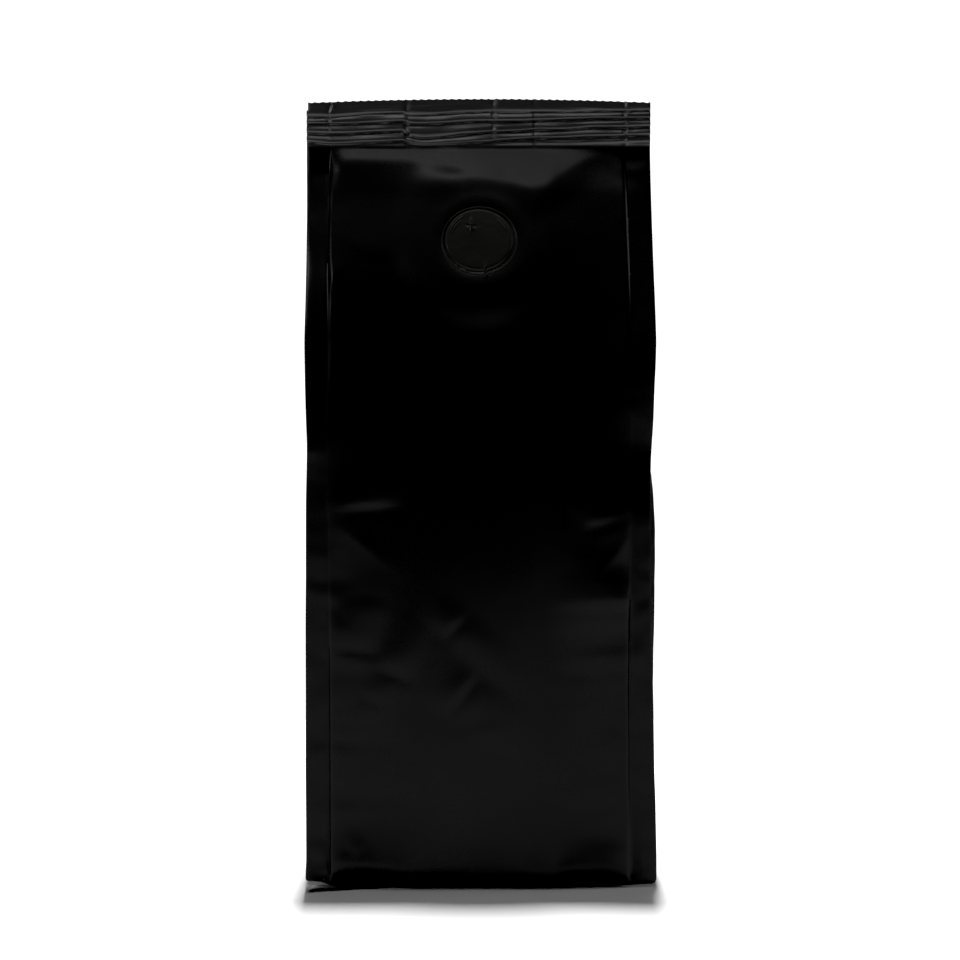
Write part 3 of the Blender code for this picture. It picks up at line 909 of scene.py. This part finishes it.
# Profile of the valve from its rim inwards: radius and height over the film's plane, in millimetres
VALVE_PROFILE = np.array((
    (10.40, 0.00), (10.30, 0.04), (10.20, 0.13), (10.08, 0.17), (9.96, 0.14), (9.84, 0.06), (9.74, -0.05),
    (9.64, -0.11), (9.54, -0.14), (9.34, -0.15), (9.26, -0.12), (9.18, -0.04), (9.10, 0.08), (9.02, 0.22),
    (8.94, 0.34), (8.84, 0.42), (8.72, 0.47), (8.56, 0.50), (8.36, 0.52), (7.80, 0.54), (7.00, 0.56),
    (5.00, 0.60), (3.00, 0.62), (0.00, 0.63)))
VALVE_RINGS = (*np.arange(10.3, 7.0, -0.1), *np.arange(7.0, 3.0, -0.2), *np.arange(3.0, 0.3, -0.4))

# The crease across the valve's lower rim: how far down from the middle, and its height, in millimetres
RIM_CREASE = np.array((
    (6.6, 0.00), (7.4, 0.08), (8.0, 0.16), (8.4, 0.25), (8.7, 0.52), (9.0, 0.76), (9.3, 0.84), (9.6, 0.80),
    (9.84, 0.64), (10.08, 0.46), (10.3, 0.20), (10.4, 0.00)))


def valve_marks(u, v):
    """The pinch over the valve's vent, the crease across its rim and the unevenness of its face."""
    u, v = u * 1000, v * 1000
    radius = np.hypot(u, v)
    du, dv = u + 2.3, v - 4.4
    pinch = 0.42 * np.exp(-(du / 0.32) ** 2 - (dv / 1.7) ** 2)
    pinch -= 0.20 * np.exp(-((dv + 0.15 + 0.15 * du) / 0.28) ** 2 - (du / 1.2) ** 2)
    pinch += 0.12 * np.exp(-((du - 0.7) / 0.32) ** 2 - ((dv + 1.1) / 0.45) ** 2)
    pinch += 0.08 * np.exp(-((du + 0.7) / 0.30) ** 2 - ((dv + 1.0) / 0.40) ** 2)
    pinch += 0.16 * np.exp(-(du / 0.28) ** 2 - ((dv - 1.5) / 0.32) ** 2)
    down = np.clip((-6.6 - v) / 3.8, 0, 1)
    across = u - 1.6 - 0.4 * down + 0.22 * np.sin(np.pi * down)
    crease = np.interp(-v, RIM_CREASE[:, 0], RIM_CREASE[:, 1]) * np.exp(-(across / 0.32) ** 2)
    turn = np.degrees(np.arctan2(v, u))
    arcs = 0.11 * np.exp(-((radius - 8.3) / 0.17) ** 2) * smooth(24, 12, np.abs(turn - 142))
    arcs += 0.09 * np.exp(-((radius - 7.6) / 0.17) ** 2) * smooth(18, 8, np.abs(turn - 146))
    arcs += 0.10 * np.exp(-((radius - 7.6) / 0.17) ** 2) * smooth(19, 9, np.abs(turn - 36))
    spots = np.stack([u, v, 0 * u], axis=1)
    face = noise_at(spots, 5.0, 31) * 0.06 + noise_at(spots, 1.6, 32) * 0.02
    return (pinch + crease + arcs + face * smooth(10.4, 8.5, radius)) / 1000


class COFFEEBAG_OT_valve(bpy.types.Operator):
    """Make the degassing valve: a round face with a sloping rim, pinched over its vent"""
    bl_idname = "coffee_bag.valve"
    bl_label = "Make Valve"

    def execute(self, context):
        sizes = context.scene.bag_valve
        deselect()
        bpy.ops.mesh.primitive_circle_add(vertices=360, radius=sizes.foot, fill_type="NGON")
        valve = context.object
        valve.name = valve.data.name = "bag_valve"
        edit_selected(valve, lambda face: True)
        bpy.ops.mesh.extrude_region_move(TRANSFORM_OT_translate={"value": (0, 0, sizes.body)})
        radius, height = sizes.foot, 0.0
        for ring in VALVE_RINGS:
            next_radius = ring / 1000
            next_height = np.interp(-ring, -VALVE_PROFILE[:, 0], VALVE_PROFILE[:, 1]) / 1000
            bpy.ops.mesh.inset(thickness=radius - next_radius, depth=next_height - height)
            radius, height = next_radius, next_height
        bpy.ops.mesh.poke()
        bpy.ops.mesh.select_all(action="SELECT")
        bpy.ops.transform.translate(value=(0, 0, -sizes.body))
        bpy.ops.object.mode_set(mode="OBJECT")
        points = read_points(valve.data)
        face = points[:, 2] > -0.0003
        inner = smooth(0.00985, 0.00885, np.hypot(points[:, 0], points[:, 1])) * face
        points[:, 0] -= 0.00025 * inner
        points[:, 1] += 0.00034 * inner
        points[face, 2] += valve_marks(points[face, 0], points[face, 1])
        write_points(valve.data, points)
        valve.data.transform(valve_place(sizes))
        for layer in list(valve.data.uv_layers):
            valve.data.uv_layers.remove(layer)
        finish_piece(valve, valve_material(context.scene.bag_colours), "degassing_valve")
        return {"FINISHED"}


# ---------------------------------------------------------------- seams and folds

def film_tree():
    """A search tree of the finished film's faces."""
    film = bpy.data.objects.get("bag_film")
    if film is None:
        raise RuntimeError("make the film first")
    mesh = film.data
    return BVHTree.FromPolygons([tuple(p) for p in read_points(mesh)],
                                [tuple(f.vertices) for f in mesh.polygons])


SEAM_ROOT = 0.0038
SEAM_WIDTH = 0.0110


def make_seam(material):
    """The back seam: a welded fin of film that lies flat on the back panel."""
    tree = film_tree()
    deselect()
    bpy.ops.mesh.primitive_grid_add(x_subdivisions=14, y_subdivisions=260, size=1)
    seam = bpy.context.object
    seam.name = seam.data.name = "bag_back_seam"
    points = read_points(seam.data)
    u, v = points[:, 0] + 0.5, points[:, 1] + 0.5
    free = 0.0003 * noise_along(v, 0.05, 41)
    x = SEAM_ROOT - SEAM_WIDTH * (1 - u) - free * (1 - u)
    z = 0.0016 + (BAG_HIGH.z - 0.0020 - 0.0016) * v
    lift = 0.00030 + 0.00026 * np.exp(-((1 - u) / 0.10) ** 2) * smooth(1.0, 0.97, u)
    lift += 0.00025 * smooth(0.25, 0.0, u) * (0.5 + 0.5 * noise_along(v, 0.035, 42))
    lift *= 1 - 0.75 * smooth(0.93, 0.945, v)
    lift[u > 0.999] = -0.0001
    for index in range(len(points)):
        hit = tree.ray_cast(Vector((x[index], 0.2, z[index])), Vector((0, -1, 0)))[0]
        if hit is None:
            raise RuntimeError("the seam has left the back panel")
        points[index] = (x[index], hit.y, z[index])
    points = level_rows(points, 3)
    points[:, 1] += lift
    write_points(seam.data, points)
    pick(seam)
    bpy.ops.object.mode_set(mode="EDIT")
    bpy.ops.mesh.select_all(action="SELECT")
    bpy.ops.mesh.normals_make_consistent(inside=False)
    bpy.ops.object.mode_set(mode="OBJECT")
    thick = seam.modifiers.new("thick", "SOLIDIFY")
    thick.thickness = 0.00022
    thick.offset = 0
    bpy.ops.object.modifier_apply(modifier=thick.name)
    for layer in list(seam.data.uv_layers):
        seam.data.uv_layers.remove(layer)
    finish_piece(seam, material, angle=40)
    return seam


def level_rows(points, rounds):
    """Even out the depth of neighbouring points a little, so that the seam is stiffer than the film."""
    grid = np.arange(len(points)).reshape(261, 15) if len(points) == 261 * 15 else None
    if grid is None:
        return points
    depth = points[grid][..., 1]
    for _ in range(rounds):
        depth[:, 1:-1] += 0.4 * ((depth[:, :-2] + depth[:, 2:]) / 2 - depth[:, 1:-1])
    points[grid, 1] = depth
    return points


def make_base_fold(material):
    """The folded transverse seal that lies flat under the base."""
    fold = add_box("bag_base_fold", (-0.0385, -0.0045, 0.00002), (0.0385, 0.0075, 0.00044))
    bisect_at(fold, "x", steps(-0.0385, 0.0385, 54))
    bisect_at(fold, "y", steps(-0.0045, 0.0075, 40))
    points = read_points(fold.data)
    y = points[:, 1]
    band = smooth(-0.0045, -0.0030, y) * smooth(0.0075, 0.0060, y)
    low = points[:, 2] < 0.0002
    points[low, 2] += (0.00016 * (0.5 - 0.5 * np.cos(y / 0.0021 * 2 * np.pi)) * band)[low]
    points[:, 1] += noise_along(points[:, 0], 0.03, 45) * 0.0004
    write_points(fold.data, points)
    for layer in list(fold.data.uv_layers):
        fold.data.uv_layers.remove(layer)
    finish_piece(fold, material, angle=40)


def make_base_flap(material):
    """A corner of the base's fold that peeps out under the left fin."""
    deselect()
    bpy.ops.mesh.primitive_grid_add(x_subdivisions=36, y_subdivisions=12, size=1)
    flap = bpy.context.object
    flap.name = flap.data.name = "bag_base_flap"
    points = read_points(flap.data)
    u, v = points[:, 0] + 0.5, points[:, 1] + 0.5
    front = -0.0298 + 0.0066 * u ** 0.8
    back = -0.0195
    y = front + (back - front) * v
    x = -0.0462 + 0.0215 * u + 0.0010 * v
    lifted = (1 - v) ** 1.5
    z = 0.00014 + lifted * (0.0009 * np.exp(-((u - 0.16) / 0.20) ** 2) + 0.00025 * np.exp(-((u - 0.6) / 0.15) ** 2))
    write_points(flap.data, np.stack([x, y, z], axis=1))
    pick(flap)
    thick = flap.modifiers.new("thick", "SOLIDIFY")
    thick.thickness = 0.00022
    thick.offset = 0
    bpy.ops.object.modifier_apply(modifier=thick.name)
    for layer in list(flap.data.uv_layers):
        flap.data.uv_layers.remove(layer)
    finish_piece(flap, material, angle=40)


class COFFEEBAG_OT_film(bpy.types.Operator):
    """Make the film bag: cut the tube, fold and fill it, dent it, crimp its seal and seat its valve"""
    bl_idname = "coffee_bag.film"
    bl_label = "Make Film"

    def execute(self, context):
        sizes = context.scene.bag_sizes
        film, tube = cut_tube(sizes)
        close_and_fill(film, tube, sizes)
        calm_panels(film, tube)
        straighten_fins(film, tube)
        tuck_gussets(film, tube)
        weld_seal(film, tube)
        refine(film)
        welds = [side * (tube.half_panel + step) for side in (-1, 1)
                 for step in (-0.0011, -0.0007, -0.00035, 0.00035, 0.0007, 0.0011)]
        cut_flat(film, "x", welds)
        seat_valve(film, tube, context.scene.bag_valve)
        slope_shoulder(film, tube)
        dent_film(film, tube)
        fold_base(film, tube)
        crimp_seal(film, tube, sizes)
        finish_piece(film, film_material(context.scene.bag_colours), "bag")
        return {"FINISHED"}


class COFFEEBAG_OT_folds(bpy.types.Operator):
    """Make the back seam, the fold under the base and the flap that peeps out of it"""
    bl_idname = "coffee_bag.folds"
    bl_label = "Make Seam and Folds"

    def execute(self, context):
        material = film_material(context.scene.bag_colours)
        make_seam(material)
        make_base_fold(material)
        make_base_flap(material)
        return {"FINISHED"}


# ---------------------------------------------------------------- materials

def new_group(name, outputs):
    """An empty node group with a shared input of places and the outputs named, or the one made before."""
    group = bpy.data.node_groups.get(name)
    if group:
        return group, False
    group = bpy.data.node_groups.new(name, "ShaderNodeTree")
    group.interface.new_socket("Vector", in_out="INPUT", socket_type="NodeSocketVector")
    for label in outputs:
        group.interface.new_socket(label, in_out="OUTPUT", socket_type="NodeSocketFloat")
    group.nodes.new("NodeGroupInput").name = "in"
    group.nodes.new("NodeGroupOutput").name = "out"
    return group, True


def add_noise(group, scale, detail, rough=0.5, stretch=(1, 1, 1)):
    """A noise texture over the group's places."""
    links = group.links
    vector = group.nodes["in"].outputs["Vector"]
    mapping = group.nodes.new("ShaderNodeMapping")
    mapping.inputs["Scale"].default_value = stretch
    links.new(vector, mapping.inputs["Vector"])
    texture = group.nodes.new("ShaderNodeTexNoise")
    texture.inputs["Scale"].default_value = scale
    texture.inputs["Detail"].default_value = detail
    texture.inputs["Roughness"].default_value = rough
    links.new(mapping.outputs["Vector"], texture.inputs["Vector"])
    return texture.outputs["Fac"]


def add_map(group, value, low, high, to_low, to_high):
    """A value mapped from one range to another, smoothly and clamped."""
    node = group.nodes.new("ShaderNodeMapRange")
    node.interpolation_type = "SMOOTHSTEP"
    for socket, number in zip(("From Min", "From Max", "To Min", "To Max"), (low, high, to_low, to_high)):
        node.inputs[socket].default_value = number
    group.links.new(value, node.inputs["Value"])
    return node.outputs["Result"]


def add_math(group, kind, first, second):
    """Two values joined by a sum or product."""
    node = group.nodes.new("ShaderNodeMath")
    node.operation = kind
    for socket, value in zip(node.inputs, (first, second)):
        if isinstance(value, (int, float)):
            socket.default_value = value
        else:
            group.links.new(value, socket)
    return node.outputs["Value"]


def film_grain():
    """The film's fine orange-peel relief and the cloudiness of its gloss."""
    group, fresh = new_group("Film Grain", ("Height", "Roughness", "Pressed"))
    if fresh:
        peel = add_noise(group, 900, 3, 0.55)
        waves = add_noise(group, 130, 2, 0.5)
        height = add_math(group, "ADD", add_math(group, "MULTIPLY", peel, 0.35), waves)
        split = group.nodes.new("ShaderNodeSeparateXYZ")
        group.links.new(group.nodes["in"].outputs["Vector"], split.inputs["Vector"])
        pressed = add_map(group, split.outputs["Z"], 0.1998, 0.2012, 0, 1)
        cloud = add_noise(group, 45, 4, 0.6)
        fine = add_noise(group, 700, 2, 0.6)
        rough = add_math(group, "ADD", add_map(group, cloud, 0.3, 0.7, 0.235, 0.285),
                         add_math(group, "MULTIPLY", fine, 0.05))
        out = group.nodes["out"]
        group.links.new(height, out.inputs["Height"])
        group.links.new(add_math(group, "ADD", rough, add_math(group, "MULTIPLY", pressed, 0.12)),
                        out.inputs["Roughness"])
        group.links.new(pressed, out.inputs["Pressed"])
    return group


def rub_marks():
    """Faint rubbed patches and dust, as a mask."""
    group, fresh = new_group("Rub Marks", ("Mask",))
    if fresh:
        patch = add_map(group, add_noise(group, 60, 6, 0.65), 0.52, 0.72, 0, 1)
        scratch = add_map(group, add_noise(group, 420, 3, 0.7, (1, 1, 0.16)), 0.62, 0.72, 0, 1)
        dust = add_map(group, add_noise(group, 1500, 2, 0.6), 0.74, 0.78, 0, 1)
        mask = add_math(group, "ADD", add_math(group, "MULTIPLY", add_math(group, "MULTIPLY", patch, scratch),
                                               0.5), add_math(group, "MULTIPLY", dust, 0.4))
        group.links.new(add_map(group, mask, 0, 1, 0, 1), group.nodes["out"].inputs["Mask"])
    return group


def dark_material(name, base, worn, specular, rough_shift, bump):
    """A dark satin material with the shared grain and rub marks."""
    material = bpy.data.materials.get(name)
    if material:
        return material
    material = bpy.data.materials.new(name)
    material.use_nodes = True
    tree = material.node_tree
    nodes, links = tree.nodes, tree.links
    shader = nodes["Principled BSDF"]
    places = nodes.new("ShaderNodeTexCoord").outputs["Object"]
    grain = nodes.new("ShaderNodeGroup")
    grain.node_tree = film_grain()
    rubs = nodes.new("ShaderNodeGroup")
    rubs.node_tree = rub_marks()
    links.new(places, grain.inputs["Vector"])
    links.new(places, rubs.inputs["Vector"])
    colour = nodes.new("ShaderNodeMix")
    colour.data_type = "RGBA"
    colour.inputs["A"].default_value = base
    colour.inputs["B"].default_value = worn
    links.new(rubs.outputs["Mask"], colour.inputs["Factor"])
    links.new(colour.outputs["Result"], shader.inputs["Base Color"])
    rough = nodes.new("ShaderNodeMath")
    rough.operation = "ADD"
    rough.inputs[1].default_value = rough_shift
    links.new(grain.outputs["Roughness"], rough.inputs[0])
    links.new(rough.outputs["Value"], shader.inputs["Roughness"])
    relief = nodes.new("ShaderNodeBump")
    relief.inputs["Strength"].default_value = bump
    relief.inputs["Distance"].default_value = 0.00004
    links.new(grain.outputs["Height"], relief.inputs["Height"])
    links.new(relief.outputs["Normal"], shader.inputs["Normal"])
    shader.inputs["Specular IOR Level"].default_value = specular
    links.new(grain.outputs["Pressed"], shader.inputs["Coat Weight"])
    shader.inputs["Coat Roughness"].default_value = 0.42
    shader.inputs["Coat IOR"].default_value = 2.1
    return material


def film_material(colours):
    """Satin black laminate."""
    return dark_material("black_film", tuple(colours.film), tuple(colours.worn), 0.22, 0.0, 0.5)


def valve_material(colours):
    """Matt black film stretched over the valve."""
    return dark_material("valve_film", tuple(colours.valve), tuple(colours.worn), 0.24, 0.06, 0.7)


# ---------------------------------------------------------------- stage

LIGHTS = (
    # name, place, size, power, aim
    ("key_box", (0.0, 0.864, 4.0), (0.16, 0.77), 300.0, (0.0, 0.0, 0.0)),
    ("top_box", (-0.06, -0.124, 0.794), (0.50, 0.12), 0.40, (0.0, -0.01, 0.205)),
    ("left_box", (-0.63, -0.45, 0.63), (0.26, 0.18), 0.80, (-0.04, -0.02, 0.165)),
    ("right_box", (0.95, 0.10, 0.40), (0.30, 0.60), 0.9, (0.0, 0.0, 0.10)),
    ("back_box", (0.0, 1.10, 0.40), (1.2, 0.6), 2.5, (0.0, 0.0, 0.08)),
)


class COFFEEBAG_OT_stage(bpy.types.Operator):
    """Make the floor, the lights and the camera"""
    bl_idname = "coffee_bag.stage"
    bl_label = "Make Stage"

    def execute(self, context):
        add_floor(context.scene.bag_colours)
        for light in LIGHTS:
            add_light(*light)
        add_camera()
        make_world()
        view = context.scene.view_settings
        view.view_transform = "Standard"
        view.use_curve_mapping = True
        view.curve_mapping.black_level = (0.0018, 0.0018, 0.0018)
        return {"FINISHED"}


def add_floor(colours):
    """A pale floor, reaching only a little way in front of the bag. The film reflects a painted darker copy of its
    colour: painted shade in the floor's reflection.
    """
    deselect()
    bpy.ops.mesh.primitive_plane_add(size=1)
    bpy.ops.transform.resize(value=(1.8, 0.80, 1))
    bpy.ops.transform.translate(value=(0, -0.10, 0))
    bpy.ops.object.transform_apply(location=True, rotation=True, scale=True)
    floor = bpy.context.object
    floor.name = "floor"
    material = bpy.data.materials.new("white_table")
    material.use_nodes = True
    shader = material.node_tree.nodes["Principled BSDF"]
    nodes, links = material.node_tree.nodes, material.node_tree.links
    # Painted shade: the film reflects the floor in the darker colour, and the camera sees the pale one
    path = nodes.new("ShaderNodeLightPath")
    shade = nodes.new("ShaderNodeMix")
    shade.data_type = "RGBA"
    shade.inputs["A"].default_value = tuple(colours.floor_shaded_for_reflections)
    shade.inputs["B"].default_value = tuple(colours.floor)
    links.new(path.outputs["Is Camera Ray"], shade.inputs["Factor"])
    links.new(shade.outputs["Result"], shader.inputs["Base Color"])
    shader.inputs["Roughness"].default_value = 0.8
    shader.inputs["Specular IOR Level"].default_value = 0.2
    floor.data.materials.append(material)


def add_light(name, place, size, power, aim):
    """A soft box at a place, turned towards a point."""
    turn = (Vector(aim) - Vector(place)).to_track_quat("-Z", "Y").to_euler()
    bpy.ops.object.light_add(type="AREA", location=place, rotation=turn)
    lamp = bpy.context.object
    lamp.name = name
    lamp.data.shape = "RECTANGLE"
    lamp.data.size, lamp.data.size_y = size
    lamp.data.energy = power
    lamp.visible_glossy = name != "key_box"


def add_camera():
    """A long lens a little above the bag's middle, looking at its front."""
    tilt = math.radians(3)
    aim = Vector((0.0001, 0, 0.1089))
    place = aim + 0.75 * Vector((0, -math.cos(tilt), math.sin(tilt)))
    bpy.ops.object.camera_add(location=place, rotation=(math.pi / 2 - tilt, 0, 0))
    camera = bpy.context.object
    camera.data.lens = 102
    camera.data.sensor_width = 36
    bpy.context.scene.camera = camera


def make_world():
    """A white room as the camera sees it, and a dim one as the film reflects it."""
    world = bpy.data.worlds.new("studio")
    bpy.context.scene.world = world
    world.use_nodes = True
    nodes, links = world.node_tree.nodes, world.node_tree.links
    dim = nodes["Background"]
    dim.inputs["Color"].default_value = (0.015, 0.015, 0.015, 1)
    bright = nodes.new("ShaderNodeBackground")
    bright.inputs["Color"].default_value = (1, 1, 1, 1)
    bright.inputs["Strength"].default_value = 1.3
    path = nodes.new("ShaderNodeLightPath")
    mix = nodes.new("ShaderNodeMixShader")
    links.new(path.outputs["Is Camera Ray"], mix.inputs[0])
    links.new(dim.outputs[0], mix.inputs[1])
    links.new(bright.outputs[0], mix.inputs[2])
    links.new(mix.outputs[0], nodes["World Output"].inputs["Surface"])


# ---------------------------------------------------------------- add-on

class COFFEEBAG_PT_panel(bpy.types.Panel):
    """Lists the steps that make the bag, and its settings"""
    bl_label = "Coffee Bag"
    bl_idname = "COFFEEBAG_PT_panel"
    bl_space_type = "VIEW_3D"
    bl_region_type = "UI"
    bl_category = "Coffee Bag"

    def draw(self, context):
        for operator in OPERATORS:
            self.layout.operator(operator.bl_idname)
        for name, group in SETTINGS.items():
            box = self.layout.box()
            box.label(text=group.__name__)
            for setting in group.__annotations__:
                box.prop(getattr(context.scene, name), setting)


OPERATORS = (COFFEEBAG_OT_film, COFFEEBAG_OT_valve, COFFEEBAG_OT_folds, COFFEEBAG_OT_stage)
CLASSES = (*SETTINGS.values(), *OPERATORS, COFFEEBAG_PT_panel)


def register():
    """Register the classes and hang their settings on the scene."""
    for item in CLASSES:
        bpy.utils.register_class(item)
    for name, group in SETTINGS.items():
        setattr(bpy.types.Scene, name, PointerProperty(type=group))


def unregister():
    """Undo register."""
    for name in SETTINGS:
        delattr(bpy.types.Scene, name)
    for item in reversed(CLASSES):
        bpy.utils.unregister_class(item)


def main():
    """Make every piece and the stage."""
    register()
    bpy.ops.coffee_bag.film()
    bpy.ops.coffee_bag.valve()
    bpy.ops.coffee_bag.folds()
    bpy.ops.coffee_bag.stage()


if __name__ == "__main__":
    main()
